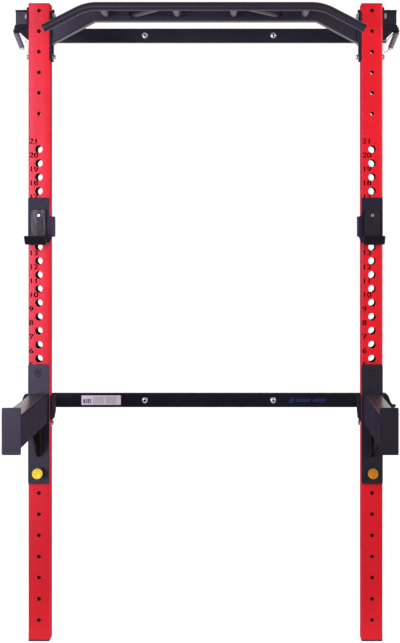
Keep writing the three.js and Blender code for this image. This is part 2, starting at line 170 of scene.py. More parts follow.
def block(bm, x, y, z):
    """A box between pairs of coordinates."""
    (x0, x1), (y0, y1), (z0, z1) = sorted(x), sorted(y), sorted(z)
    prism(bm, [(x0, y0), (x1, y0), (x1, y1), (x0, y1)], "z", z0, z1)


def pipe(bm, outer, inner, axis, low, high):
    """A straight hollow section."""
    rows = [[bm.verts.new(place(axis, u, v, w)) for u, v in points]
            for points in (outer, inner) for w in (low, high)]
    bridge(bm, rows[0], rows[1])
    bridge(bm, rows[3], rows[2])
    bridge(bm, rows[2], rows[0])
    bridge(bm, rows[1], rows[3])


def box_tube(bm, width, height, radii, centre, axis, low, high, steps=5):
    """A rectangular tube, with its corner radii outside and inside."""
    outer = rounded(width, height, radii[0], centre, steps)
    inner = rounded(width - 2 * WALL, height - 2 * WALL, radii[1], centre, steps)
    pipe(bm, outer, inner, axis, low, high)


def lathe(bm, profile, origin, axis, segments):
    """A profile of (radius, distance along the axis) turned about the axis from origin."""
    direction = Vector(axis).normalized()
    turn = direction.to_track_quat("Z", "Y")
    origin = Vector(origin)
    last = None
    for radius, along in profile:
        if radius <= 1e-6:
            loop = [bm.verts.new(origin + direction * along)] * segments
        else:
            loop = [bm.verts.new(origin + direction * along + turn @ Vector((u, v, 0)))
                    for u, v in ring(radius, segments)]
        if last:
            for i in range(segments):
                j = (i + 1) % segments
                corners = list(dict.fromkeys((last[i], last[j], loop[j], loop[i])))
                if len(corners) > 2:
                    bm.faces.new(corners)
        last = loop


def plane_ring(section, point, along, up, normal):
    """Section points carried along a direction to the plane through point with the given normal."""
    side = along.cross(up).normalized()
    lift = side.cross(along).normalized()
    spots = []
    for u, v in section:
        start = point + side * u + lift * v
        spots.append(start + along * ((point - start).dot(normal) / along.dot(normal)))
    return spots


def sweep(bm, section, path, up=BACK, ends=None, closed=False, caps=True, scale=None):
    """A section along a path, mitred at each point. ends are the normals of the end planes."""
    up = Vector(up)
    path = [Vector(p) for p in path]
    count = len(path)
    loops = []
    for i, point in enumerate(path):
        before = point - path[i - 1] if i or closed else path[1] - point
        after = path[(i + 1) % count] - point if i < count - 1 or closed else before
        before, after = before.normalized(), after.normalized()
        normal = (before + after).normalized()
        if ends and i == 0:
            normal, before = Vector(ends[0]), after
        if ends and i == count - 1:
            normal = Vector(ends[1])
        size = scale(i) if scale else 1
        spots = plane_ring([(u * size, v * size) for u, v in section], point, before, up, normal)
        loops.append([bm.verts.new(p) for p in spots])
    for i in range(count if closed else count - 1):
        bridge(bm, loops[i], loops[(i + 1) % count])
    if caps and not closed:
        face(bm, loops[0][::-1])
        face(bm, loops[-1])


def weld(bm, path, radius, closed=False, up=UP):
    """A rippled weld bead along a path, laid in the corner between two plates."""
    path = [Vector(p) for p in path]
    stops = path + [path[0]] if closed else path
    points = []
    for a, b in zip(stops, stops[1:]):
        steps = max(2, int((b - a).length / 1.6))
        points += [a.lerp(b, k / steps) for k in range(steps)]
    if not closed:
        points.append(stops[-1])
    direction = (points[1] - points[0]).normalized()
    up = Vector(up) if abs(direction.dot(Vector(up))) < 0.9 else Vector((0.3, 1, 0.2))
    sweep(bm, ring(radius, 7), points, up, closed=closed,
          scale=lambda i: 1 + 0.14 * math.sin(i * 2.1) + 0.05 * math.sin(i * 0.7))


def weld_round(bm, axis, u, v, w, radius):
    """A weld bead round a rectangular tube that runs along the axis."""
    corners = [place(axis, a, b, w) for a, b in ((u[0], v[0]), (u[1], v[0]), (u[1], v[1]), (u[0], v[1]))]
    weld(bm, corners, radius, True, place(axis, 0, 0, 1))


# ---- pieces


def bevelled(piece, width, segments=2, angle=32):
    """Rounds a piece's edges sharper than the angle."""
    piece.data.shade_smooth()
    soften = piece.modifiers.new("edges", "BEVEL")
    soften.width = width * MM
    soften.segments = segments
    soften.limit_method = "ANGLE"
    soften.angle_limit = math.radians(angle)
    soften.harden_normals = True


def in_metres(bm):
    """Turns a bmesh into metres in the CAD's frame, with its faces outwards."""
    bmesh.ops.recalc_face_normals(bm, faces=bm.faces)
    to_frame = Matrix.Scale(MM, 4) @ Matrix.Translation((0, FACE_Y, 0))
    bmesh.ops.transform(bm, matrix=to_frame, verts=bm.verts)


def linked(name, data):
    """A new object in the scene."""
    made = bpy.data.objects.new(name, data)
    bpy.context.scene.collection.objects.link(made)
    return made


def mesh_object(name, bm):
    mesh = bpy.data.meshes.new(name)
    bm.to_mesh(mesh)
    bm.free()
    return linked(name, mesh)


def evaluated_mesh(made):
    """A copy of an object's mesh with its modifiers applied, or of a curve's mesh."""
    graph = bpy.context.evaluated_depsgraph_get()
    return bpy.data.meshes.new_from_object(made.evaluated_get(graph))


def put(name, bm, body, material, replaces=(), bevel=0.0, segments=2, smooth=True, angle=32, sides=None):
    """Makes a bmesh a piece that rides on a body. Faces across X take the material sides, which carries
    painted sheen or painted shade for faces seen edge-on.
    """
    in_metres(bm)
    piece = mesh_object(name, bm)
    mesh = piece.data
    mesh.materials.append(material)
    if sides:
        mesh.materials.append(sides)
        for polygon in mesh.polygons:
            polygon.material_index = int(abs(polygon.normal.x) > 0.7)
    if smooth:
        mesh.shade_smooth()
    if bevel:
        bevelled(piece, bevel, segments, angle)
    elif smooth:
        mesh.set_sharp_from_angle(angle=math.radians(angle))
    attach(piece, body)
    if replaces:
        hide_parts(*replaces)
    return piece


def put_plate(name, outline, axis, start, end, body, material, **look):
    """A piece that is one flat outline made thick."""
    bm = bmesh.new()
    prism(bm, outline, axis, start, end)
    return put(name, bm, body, material, **look)


def carved(piece, cutter_bm, operation="DIFFERENCE"):
    """Cuts the cutter's shapes out of a piece, or keeps only what lies inside them."""
    in_metres(cutter_bm)
    cutter = mesh_object("cutter", cutter_bm)
    cut = piece.modifiers.new("holes", "BOOLEAN")
    cut.operation = operation
    cut.solver = "EXACT"
    cut.object = cutter
    mesh = evaluated_mesh(piece)
    piece.modifiers.clear()
    piece.data = mesh
    used = cutter.data
    bpy.data.objects.remove(cutter)
    bpy.data.meshes.remove(used)


# ---- materials


class Nodes:
    """The node tree of a material or world, with short calls for the few nodes used here."""

    def __init__(self, owner, shader="Principled BSDF", space="Object"):
        owner.use_nodes = True
        self.owner = owner
        self.tree = owner.node_tree
        self.inputs = self.tree.nodes[shader].inputs
        self.coordinates = self.add("ShaderNodeTexCoord").outputs[space]

    def add(self, kind, **values):
        """A new node, with the values of its inputs."""
        node = self.tree.nodes.new(kind)
        for socket, value in values.items():
            node.inputs[socket.replace("_", " ")].default_value = value
        return node

    def link(self, source, target):
        self.tree.links.new(source, target)

    def position(self, axis):
        """One coordinate of the place that is shaded."""
        node = self.add("ShaderNodeSeparateXYZ")
        self.link(self.coordinates, node.inputs["Vector"])
        return node.outputs[axis]

    def noise(self, scale, detail=3.0, roughness=0.55, stretch=None):
        node = self.add("ShaderNodeTexNoise", Scale=scale, Detail=detail, Roughness=roughness)
        source = self.coordinates
        if stretch:
            mapping = self.add("ShaderNodeMapping", Scale=stretch)
            self.link(source, mapping.inputs["Vector"])
            source = mapping.outputs["Vector"]
        self.link(source, node.inputs["Vector"])
        return node.outputs["Fac"]

    def spread(self, source, low, high, start=0.3, end=0.7):
        """A value between start and end, turned into one between low and high."""
        node = self.add("ShaderNodeMapRange", From_Min=start, From_Max=end, To_Min=low, To_Max=high)
        self.link(source, node.inputs["Value"])
        return node.outputs["Result"]

    def blend(self, factor, first, second):
        """A mix of two colours, each a tuple or a node's output."""
        node = self.add("ShaderNodeMix")
        node.data_type = "RGBA"
        self.link(factor, node.inputs["Factor"])
        for socket, value in ((node.inputs[6], first), (node.inputs[7], second)):
            if isinstance(value, tuple):
                socket.default_value = (*value, 1)
            else:
                self.link(value, socket)
        return node.outputs[2]

    def bump(self, height, strength, distance, after=None):
        node = self.add("ShaderNodeBump", Strength=strength, Distance=distance)
        self.link(height, node.inputs["Height"])
        if after:
            self.link(after, node.inputs["Normal"])
        return node.outputs["Normal"]


    def finish(self, colour, rough, normal, **numbers):
        """Links the textures, sets the plain numbers and gives back the material."""
        for socket, source in (("Base Color", colour), ("Roughness", rough), ("Normal", normal)):
            self.link(source, self.inputs[socket])
        for socket, value in numbers.items():
            self.inputs[socket.replace("_", " ")].default_value = value
        return self.owner


def surface(name):
    return Nodes(bpy.data.materials.new(name))


def darker(colour, share):
    return tuple(c * share for c in colour)


def coat(name, colour, second, rough, grain, strength, specular):
    """Powder coat: a pebbled skin with a slow change of tone and small differences of gloss."""
    nodes = surface(name)
    tone = nodes.spread(nodes.noise(9, 4), 0.0, 1.0, 0.35, 0.65)
    speckle = nodes.spread(nodes.noise(grain * 0.6, 2), 0.0, 0.22, 0.45, 0.75)
    flecks = tuple(min(1, c * 1.8 + 0.01) for c in colour)
    flecked = nodes.blend(speckle, nodes.blend(tone, colour, second), flecks)
    gloss = nodes.spread(nodes.noise(grain * 0.25, 3), *rough)
    pebbles = nodes.bump(nodes.noise(grain, 2, 0.6), strength, 0.0004)
    waves = nodes.bump(nodes.noise(grain * 0.12, 2), strength * 0.5, 0.0008, pebbles)
    return nodes.finish(flecked, gloss, waves, Specular_IOR_Level=specular, Specular_Tint=COAT_TINT)


def plated(name, colour, rough):
    """Zinc plate: metal with a faint spangle, fine rolling lines and duller patches."""
    nodes = surface(name)
    spangle = nodes.spread(nodes.noise(160, 3), 0.0, 1.0, 0.35, 0.65)
    gloss = nodes.spread(nodes.noise(240, 3), rough * 0.8, rough * 1.4)
    lines = nodes.bump(nodes.noise(700, 2), 0.12, 0.0002)
    return nodes.finish(nodes.blend(spangle, colour, darker(colour, 0.82)), gloss, lines, Metallic=1.0)


def moulded(name, colour, rough, strength=0.15, specular=0.5, clear=0.0):
    """Moulded plastic: a fine spark-eroded grain and small differences of gloss."""
    nodes = surface(name)
    tone = nodes.spread(nodes.noise(60, 3), 0.0, 1.0)
    gloss = nodes.spread(nodes.noise(270, 2), rough * 0.85, rough * 1.2)
    grain = nodes.bump(nodes.noise(900, 2), strength, 0.0003)
    return nodes.finish(nodes.blend(tone, colour, darker(colour, 0.86)), gloss, grain,
                        Specular_IOR_Level=specular, Coat_Weight=clear, Coat_Roughness=0.08)


def scuffed(name, colour, rough, stretch, specular, vary=0.15, relief=0.03):
    """Liner plastic: glossy, with fine lines along its length."""
    nodes = surface(name)
    lines = nodes.noise(60, 4, 0.6, stretch)
    tone = nodes.spread(lines, 0.0, 1.0, 0.35, 0.65)
    gloss = nodes.spread(lines, rough * (1 - vary), rough * (1 + vary), 0.35, 0.65)
    return nodes.finish(nodes.blend(tone, colour, darker(colour, 0.7)), gloss,
                        nodes.bump(lines, relief, 0.0004), Specular_IOR_Level=specular)


COAT_TINT = (0.86, 0.8, 1, 1)
RED = coat("red_powder_coat", (0.575, 0.004, 0.009), (0.53, 0.003, 0.007), (0.36, 0.48), 700, 0.12, 0.3)
# A paler, pinker copy of the red coat with no reflection of its own: painted reflection for the uprights'
# sides, seen edge-on.
RED_PAINTED_SHEEN = coat("red_powder_coat_painted_sheen", (0.54, 0.022, 0.042), (0.50, 0.019, 0.036), (0.5, 0.65), 700, 0.12, 0)
CAP_RED = coat("cap_red_powder_coat", (0.22, 0.004, 0.007), (0.19, 0.003, 0.006), (0.4, 0.5), 700, 0.12, 0.1)


def black_coat(name, colour, second, rough, strength, specular):
    return coat(f"{name}_powder_coat", colour, second, rough, 650, strength, specular)


BLACK = black_coat("black", (0.006, 0.005, 0.009), (0.005, 0.004, 0.007), (0.38, 0.52), 0.2, 0.46)
# A lighter copy of the black coat with no reflection: painted sheen for faces seen edge-on, standing in for
# the light they catch.
PAINTED_SHEEN_BLACK = black_coat("painted_sheen_black", (0.024, 0.019, 0.030), (0.020, 0.016, 0.026), (0.5, 0.7), 0.25, 0)
# A still paler, mauve copy of the black coat with no reflection: painted sheen for the J-cups' flanges and
# plate sides.
FLANGE_SHEEN = black_coat("flange_painted_sheen_black", (0.050, 0.038, 0.060), (0.044, 0.033, 0.052), (0.5, 0.7), 0.25, 0)
CUP_BLACK = black_coat("cup_black", (0.010, 0.008, 0.014), (0.008, 0.006, 0.011), (0.4, 0.55), 0.2, 0.2)
# A lighter copy of the black coat with no reflection: painted light on the spotter arms' tubes.
LIT_TUBE_BLACK = black_coat("tube_painted_light_black", (0.034, 0.026, 0.041), (0.029, 0.022, 0.035), (0.5, 0.7), 0.25, 0)
# A darker copy of the black coat: painted shade for the lower rail, the J-cups' trays and the gussets.
SHADED_BLACK = black_coat("painted_shade_black", (0.0035, 0.0030, 0.0045), (0.0025, 0.0022, 0.0035), (0.4, 0.55), 0.2, 0.12)
# The upper rail takes the cup's coat; the lower rail takes the darker copy of the black, painted shade.
RAIL_COAT_AND_SHADE = {"upper": CUP_BLACK, "lower": SHADED_BLACK}
# Near black with no reflection: painted shade inside the uprights, on the gussets' sides and in the lag
# bolts' drilled heads.
SHADOW_BLACK = coat("painted_shadow_black", (0.006, 0.004, 0.004), (0.004, 0.003, 0.003), (0.7, 0.8), 400, 0.2, 0)
ZINC = plated("zinc", (0.66, 0.66, 0.70), 0.3)
SLEEVE = moulded("grey_sleeve", (0.19, 0.155, 0.20), 0.5, specular=0.15)
PLASTIC = moulded("black_plastic", (0.010, 0.009, 0.012), 0.5, specular=0.2)
PAD = scuffed("pad_plastic", (0.008, 0.006, 0.010), 0.26, (1.1, 1.1, 0.2), 0.56, 0.35, 0.004)
LINER = scuffed("liner_plastic", (0.040, 0.024, 0.031), 0.3, (14, 0.08, 14), 0.36)
# The two knobs are one yellow plastic in two copies: the left one lighter and yellower, a painted highlight,
# the right one darker and more orange, painted shade.
KNOB_LIT_AND_SHADED = {
    "left": moulded("yellow_plastic", (0.83, 0.58, 0.025), 0.28, 0.1, specular=0.4, clear=0.1),
    "right": moulded("yellow_plastic_painted_shade", (0.48, 0.17, 0.001), 0.32, 0.1, specular=0.25),
}
WHITE = moulded("white_plastic", (0.75, 0.74, 0.76), 0.4)
INK = moulded("label_ink", (0.003, 0.002, 0.003), 0.6, specular=0.0)
PAPER = moulded("blank_label", (0.62, 0.58, 0.66), 0.45, specular=0.2)
GREY_INK = moulded("label_grey", (0.07, 0.06, 0.10), 0.5, specular=0.1)
BLUE_INK = moulded("decal_blue", (0.009, 0.015, 0.070), 0.5, specular=0.1)

# ---- uprights, their caps and the hole numbers

CORNER = 4.5  # corner radius of the upright
HOLE_CUT = 4  # half the depth of the cutter of a hole in one wall


def upright(name, side):
    """A red box tube with numbered and small holes, painted near black inside as shade and paler and pinker
    on its sides as a painted reflection.
    """
    x = side * UPRIGHT_X
    low, high = node_box(f"upright_{name}")
    bm = bmesh.new()
    box_tube(bm, TUBE, TUBE, (CORNER, 2), (x, HALF), "z", low.z, high.z, 6)
    piece = put(f"upright_tube_{name}", bm, FRONT, RED, [f"upright_{name}"], smooth=False)
    cutter = bmesh.new()
    walls = (WALL / 2, TUBE - WALL / 2)
    fronts = [(z, NUMBERED_RADIUS, 40) for z in column(NUMBERED_HOLES)]
    fronts += [(z, SMALL_RADIUS, 28) for holes in SMALL_FRONT for z in column(holes)]
    for z, radius, count in fronts:
        for wall in walls:
            prism(cutter, ring(radius, count, (x, z)), "y", wall - HOLE_CUT, wall + HOLE_CUT)
    for z in [z for holes in SMALL_SIDE for z in column(holes)]:
        for wall in walls:
            middle = x - HALF + wall
            prism(cutter, ring(SMALL_RADIUS, 28, (HALF, z)), "x", middle - HOLE_CUT, middle + HOLE_CUT)
    carved(piece, cutter)
    # Faces inside the tube take the near-black painted shade, and the tube's sides take the red with painted
    # reflection.
    piece.data.materials.append(SHADOW_BLACK)
    piece.data.materials.append(RED_PAINTED_SHEEN)
    bore, sheen_side = 1, 2
    for polygon in piece.data.polygons:
        spot = polygon.center / MM - Vector((x, FACE_Y + HALF, 0))
        if max(abs(spot.x), abs(spot.y)) < HALF - 2:
            polygon.material_index = bore
        elif abs(spot.x) > HALF - 0.2:
            polygon.material_index = sheen_side
    bevelled(piece, 0.5, angle=50)


def caps(name, side):
    """The cap on top of an upright, and the ribbed plug in its foot."""
    middle = (side * UPRIGHT_X, HALF)
    low, high = node_box(f"top_cap_{name}")
    bm = bmesh.new()
    prism(bm, rounded(TUBE, TUBE, CORNER, middle, 6), "z", low.z, high.z)
    prism(bm, rounded(TUBE - 8, TUBE - 8, 3, middle, 6), "z", low.z - 12, low.z + 1)
    put(f"top_cap_cover_{name}", bm, FRONT, CAP_RED, [f"top_cap_{name}"], bevel=0.8)
    low, high = node_box(f"foot_cap_{name}")
    bm = bmesh.new()
    prism(bm, rounded(TUBE, TUBE, 5, middle, 6), "z", low.z, high.z)
    for rib in range(3):
        size, start = TUBE - 8 - rib * 0.8, high.z + rib * 7
        prism(bm, rounded(size, size, 3, middle, 6), "z", start, start + 4)
    put(f"foot_plug_{name}", bm, FRONT, PLASTIC, [f"foot_cap_{name}"], bevel=0.8)


NUMBER_SIZE = 25
NUMBER_STRETCH = 1.33  # the digits are wider than the typeface's
NUMBER_LEFT = 35  # from the upright's middle to the numbers' left edge
NUMBER_RISE = 27.5  # from a hole's middle up to its number's


def number_mesh(text):
    """The outline of a number as flat mesh data, starting at its left edge and centred in height."""
    curve = bpy.data.curves.new("number", "FONT")
    curve.body = text
    curve.size = NUMBER_SIZE
    curve.align_x = "LEFT"
    curve.align_y = "CENTER"
    curve.extrude = 0.05
    curve.offset = 0.22
    holder = linked("number", curve)
    mesh = evaluated_mesh(holder)
    bpy.data.objects.remove(holder)
    return mesh


def numbers(name, side):
    """Printed hole numbers beside the holes. Two copies side by side thicken them."""
    bm = bmesh.new()
    x = side * UPRIGHT_X - NUMBER_LEFT
    upright_text = Matrix.Rotation(math.pi / 2, 4, "X") @ Matrix.Diagonal((NUMBER_STRETCH, 1, 1, 1))
    for i, z in enumerate(column(NUMBERED_HOLES)):
        mesh = number_mesh(str(i + 1))
        mesh.transform(Matrix.Translation((x, -0.1, z + NUMBER_RISE)) @ upright_text)
        last = Vector()
        for shift in (Vector((-0.35, 0.0, 0)), Vector((0.35, 0.01, 0))):
            mesh.transform(Matrix.Translation(shift - last))
            last = shift
            bm.from_mesh(mesh)
        bpy.data.meshes.remove(mesh)
    put(f"hole_numbers_{name}", bm, FRONT, INK, smooth=False)


for name, side in SIDES.items():
    upright(name, side)
    caps(name, side)
    numbers(name, side)

# ---- fasteners


def washer(bm, origin, axis, radius, height, bore=6.5):
    profile = [(bore, 0), (radius - 0.4, 0), (radius, 0.4), (radius, height - 0.4), (radius - 0.4, height),
               (bore, height), (bore, 0)]
    lathe(bm, profile, origin, axis, 40)


def head_and_washer(bm, origin, axis, under, head, bore=6.5):
    """A washer with a hex head on it, each given by its radius and height."""
    washer(bm, origin, axis, *under, bore)
    radius, height = head
    profile = [(0, 0), (radius, 0), (radius, height - 1.2), (radius - 1.6, height), (0, height)]
    lathe(bm, profile, Vector(origin) + Vector(axis) * under[1], axis, 6)


def thread(bm, origin, axis, radius, length):
    """The threaded end of a bolt."""
    root, pitch = radius - 0.9, 1.75
    profile = [(0, 0)]
    turns = int(length / pitch)
    for i in range(turns):
        profile += [(radius, i * pitch), (root, (i + 0.5) * pitch)]
    profile += [(root, turns * pitch), (0, turns * pitch)]
    lathe(bm, profile, origin, axis, 24)


def cross_bolt(node):
    """A hex bolt through an upright: head and washer outside, nut and thread inside."""
    low, high = node_box(node)
    y, z = node_middle(node)[1:]
    side = 1 if low.x > 0 else -1
    out, back = (side, 0, 0), (-side, 0, 0)
    inner, outer = sorted((abs(low.x), abs(high.x)))
    nut, head = inner + 12, outer - 12
    bm = bmesh.new()
    head_and_washer(bm, (side * head, y, z), out, (12, 2.2), (10.3, 7.6))
    head_and_washer(bm, (side * nut, y, z), back, (11.8, 2), (10.3, 7))
    lathe(bm, [(0, 0), (7.2, 0), (6.6, 1.6), (0, 1.6)], (side * (nut - 9), y, z), back, 28)
    thread(bm, (side * (nut - 8), y, z), back, 5.6, 4)
    lathe(bm, [(5.9, -0.5), (5.9, head - nut + 0.5)], (side * nut, y, z), out, 24)
    put(f"{node}_zinc", bm, FRONT, ZINC, [node], bevel=0.3, angle=25)


def lag_bolt(node):
    """A lag bolt through the rail: drilled head, round washer, shank ending at the wall. The drill hole in
    its head is painted near black as shade.
    """
    low, high = node_box(node)
    x, z = node_middle(node)[::2]
    rail = low.y + 10
    bm = bmesh.new()
    washer(bm, (x, rail, z), FORWARD, 11.5, 2.3)
    lathe(bm, [(0, 0), (10, 0), (9.6, 1.2), (7, 1.6), (0, 1.6)], (x, rail - 2.3, z), FORWARD, 32)
    head = [(0, 0.6), (3.6, 1.4), (4.2, 5.4), (4.8, 6.2), (7.4, 5.4), (8.8, 3.4), (9.2, 1), (9.2, 0), (0, 0)]
    lathe(bm, head, (x, rail - 3.6, z), FORWARD, 36)
    lathe(bm, [(5.2, 0), (5.2, high.y - rail)], (x, rail, z), BACK, 20)
    piece = put(f"{node}_zinc", bm, "wall_side", ZINC, [node], bevel=0.3, angle=25)
    piece.data.materials.append(SHADOW_BLACK)
    # Faces in the head's drill hole take the near-black painted shade.
    recess = 4.1
    for polygon in piece.data.polygons:
        spot = polygon.center / MM - Vector((x, FACE_Y, z))
        if math.hypot(spot.x, spot.z) < recess and spot.y < rail - 3.9:
            polygon.material_index = 1


def hinge_pin(node, body):
    """A vertical hinge bolt: hex head on top, locking nut below, washers on both ears."""
    low, high = node_box(node)
    x, y = node_middle(node)[:2]
    top, bottom = high.z - 7, low.z + 9
    bm = bmesh.new()
    head_and_washer(bm, (x, y, top), UP, (12, 1.8), (10.4, 5.2), 8)
    head_and_washer(bm, (x, y, bottom), DOWN, (12, 1.8), (10.4, 5.6), 8)
    thread(bm, (x, y, bottom - 7), DOWN, 7.4, 2)
    lathe(bm, [(7.9, 0), (7.9, top - bottom)], (x, y, bottom), UP, 32)
    put(f"{node}_zinc", bm, body, ZINC, [node], bevel=0.3, angle=25)


for name in SIDES:
    cross_bolt(f"bracket_bolt_{name}")
    for level in ("upper", "lower"):
        cross_bolt(f"side_plate_bolt_{level}_{name}")
        lag_bolt(f"lag_bolt_{level}_{name}")
        hinge_pin(f"wall_pin_{level}_{name}", "wall_side")
        hinge_pin(f"upright_pin_{level}_{name}", FRONT)

# ---- wall rails and folding arms

EAR_RADIUS = 28
LOCK_Y = 320  # how far behind the uprights' faces each arm's lock hole is


def wall_rail(level):
    """A box tube along the wall, with a plug in each end."""
    node = f"wall_rail_{level}"
    low, high = node_box(node)
    depth, height = high.y - low.y, high.z - low.z
    centre = node_middle(node)[1:]
    bm = bmesh.new()
    box_tube(bm, depth, height, (3, 1), centre, "x", low.x, high.x)
    # The lower rail's darker black is painted shade.
    put(f"rail_tube_{level}", bm, "wall_side", RAIL_COAT_AND_SHADE[level], [node], bevel=0.4, angle=50)
    bm = bmesh.new()
    plug = rounded(depth - 6.4, height - 6.4, 1, centre)
    for end, inward in ((low.x, 1), (high.x, -1)):
        prism(bm, plug, "x", end + inward * 0.6, end + inward * 14)
    put(f"rail_plugs_{level}", bm, "wall_side", PLASTIC, bevel=0.6)


def ear_heights(level, name):
    """The bottom and top of the ears below and above a swing arm."""
    low, high = node_box(f"swing_arm_{level}_{name}")
    below, above = low.z - EAR_GAP, high.z + EAR_GAP
    return (below - EAR, below), (above, above + EAR)


def wall_bracket(level, name):
    """A plate on the rail's end with two round ears that hold the wall pin."""
    node = f"wall_bracket_{level}_{name}"
    low, high = node_box(node)
    x, y = node_middle(f"wall_pin_{level}_{name}")[:2]
    base = high.y - PLATE
    left, right = x - EAR_RADIUS, x + EAR_RADIUS
    bm = bmesh.new()
    prism(bm, panel(low.x, high.x, low.z, high.z, 7), "y", base, high.y)
    for heights in ear_heights(level, name):
        arc = ring(EAR_RADIUS, 15, (x, y), math.pi, math.pi)
        prism(bm, [(right, base + 0.5), (left, base + 0.5)] + arc, "z", *heights)
        for z in heights:
            weld(bm, [(left, base - 0.6, z), (right, base - 0.6, z)], 2.0)
    put(f"{node}_steel", bm, "wall_side", BLACK, [node], bevel=0.7, angle=45)


def swing_arm(level, name):
    """A box beam between two hinge pins, round at the wall. In front, the upper one is square."""
    node = f"swing_arm_{level}_{name}"
    low, high = node_box(node)
    x, z = node_middle(node)[::2]
    width, height = high.x - low.x, high.z - low.z
    wall_y = node_middle(f"wall_pin_{level}_{name}")[1]
    front_y = node_middle(f"upright_pin_{level}_{name}")[1]
    square = level == "upper"
    tube_front = low.y + 2.2 if square else front_y + 26
    tube_back = wall_y - 26
    round_ends = [(wall_y, tube_back, 1), (front_y, tube_front, -1)][: 1 if square else 2]
    bm, beads = bmesh.new(), bmesh.new()
    box_tube(bm, width, height, (4, 2), (x, z), "y", tube_front, tube_back)
    if square:
        prism(bm, rounded(width, height, 4, (x, z)), "y", low.y, low.y + 2.6)
    for pin_y, seam, way in round_ends:
        arc = ring(width / 2, 21, (x, pin_y), 0 if way > 0 else math.pi, math.pi)
        reach = way * width / 2
        prism(bm, [(x - reach, seam - way), (x + reach, seam - way)] + arc, "z", low.z, high.z)
        weld_round(beads, "y", (low.x + 1, high.x - 1), (low.z + 1, high.z - 1), seam, 1.7)
    put(f"{node}_tube", bm, f"{name}_arms", BLACK, [node], bevel=0.8, angle=45)
    put(f"{node}_beads", beads, f"{name}_arms", BLACK)


def lock_holes(level, name):
    """Bushes in the arm's lock hole, above and below."""
    node = f"swing_arm_{level}_{name}"
    low, high = node_box(node)
    x = node_middle(node)[0]
    bore, rim = 10.4, 12.6
    sleeve = [(bore, -3), (bore, 0.25), (rim, 0.25), (rim, -0.5), (rim, -3), (bore, -3)]
    disc = [(0, -1.5), (bore, -1.5), (bore, -2.5), (0, -2.5)]
    bm = bmesh.new()
    for z, out in ((low.z, DOWN), (high.z, UP)):
        for profile in (sleeve, disc):
            lathe(bm, profile, (x, LOCK_Y, z), out, 36)
    put(f"lock_bush_{level}_{name}", bm, f"{name}_arms", PLASTIC)


GUSSET_LOW, WRAP_LOW = 2140, 2178  # the upper bracket's gusset and outer plate start here
LOWER_LOW, LOWER_HIGH = 782, 868  # the lower bracket's plates
EAR_INNER = 575  # the ears' straight inner ends


def upright_bracket(level, name, side):
    """Plates that wrap the upright from behind, with the two ears that hold the hinge pin."""
    node = f"upright_bracket_{level}_{name}"
    px, py = node_middle(f"upright_pin_{level}_{name}")[:2]
    px = abs(px)
    back0, back1 = TUBE + GAP, TUBE + GAP + PLATE
    ears = ear_heights(level, name)
    low, top = ears[0][0], ears[1][1]
    face_x, plate_x = OUTER_FACE + 1, OUTER_FACE + GAP + PLATE
    bm = bmesh.new()
    if level == "upper":
        wrap = softened([(back1, WRAP_LOW), (back1, top), (1, top), (1, WRAP_LOW)], [0.01, 0.01, 16, 3], 9)
        outline = [(545, low), (face_x, low), (face_x, GUSSET_LOW), (642, GUSSET_LOW), (688, low - 6),
                   (688, low + 3), (plate_x, low + 3), (plate_x, top), (545, top)]
        rivet = [(0, -1), (4.6, -1), (4.6, 1.6), (3.6, 2.6), (0, 2.6)]
        lathe(bm, rivet, (side * 658, back0, WRAP_LOW + 3), FORWARD, 24)
        ear_outer = px + 26
    else:
        wrap = softened([(back1, LOWER_LOW), (back1, LOWER_HIGH), (10, LOWER_HIGH), (10, LOWER_LOW)],
                        [0.01, 0.01, 10, 3], 9)
        outline = [(556, low), (672, low), (672, 818), (655, 862), (649, LOWER_HIGH), (550, LOWER_HIGH),
                   (550, LOWER_LOW), (556, LOWER_LOW)]
        inner = softened([(10, LOWER_LOW), (84, LOWER_LOW), (119, 804), (119, LOWER_HIGH), (10, LOWER_HIGH)],
                         [3, 2, 2, 8, 3])
        prism(bm, inner, "x", side * (INNER_FACE - GAP), side * (INNER_FACE - GAP - 7.5))
        ear_outer = px + 10
    prism(bm, wrap, "x", side * (OUTER_FACE + GAP), side * plate_x)
    prism(bm, softened([(side * u, v) for u, v in outline], 2), "y", back0, back1)
    for heights in ears:
        arc = ring(EAR_RADIUS, 15, (px, py), 0, math.pi)
        plan = [(EAR_INNER, back1 - 0.5), (ear_outer, back1 - 0.5)] + arc
        prism(bm, [(side * u, v) for u, v in plan], "z", *heights)
        bead_y = back1 + 0.6
        for z in heights:
            weld(bm, [(side * (EAR_INNER + 2), bead_y, z), (side * (OUTER_FACE - 2), bead_y, z)], 2.0)
    # The whole bracket takes the paler black: painted sheen for faces seen edge-on.
    put(f"{node}_steel", bm, FRONT, PAINTED_SHEEN_BLACK, [node], bevel=0.7, angle=45)


for level in ("upper", "lower"):
    wall_rail(level)
    for name, side in SIDES.items():
        wall_bracket(level, name)
        swing_arm(level, name)
        lock_holes(level, name)
        upright_bracket(level, name, side)


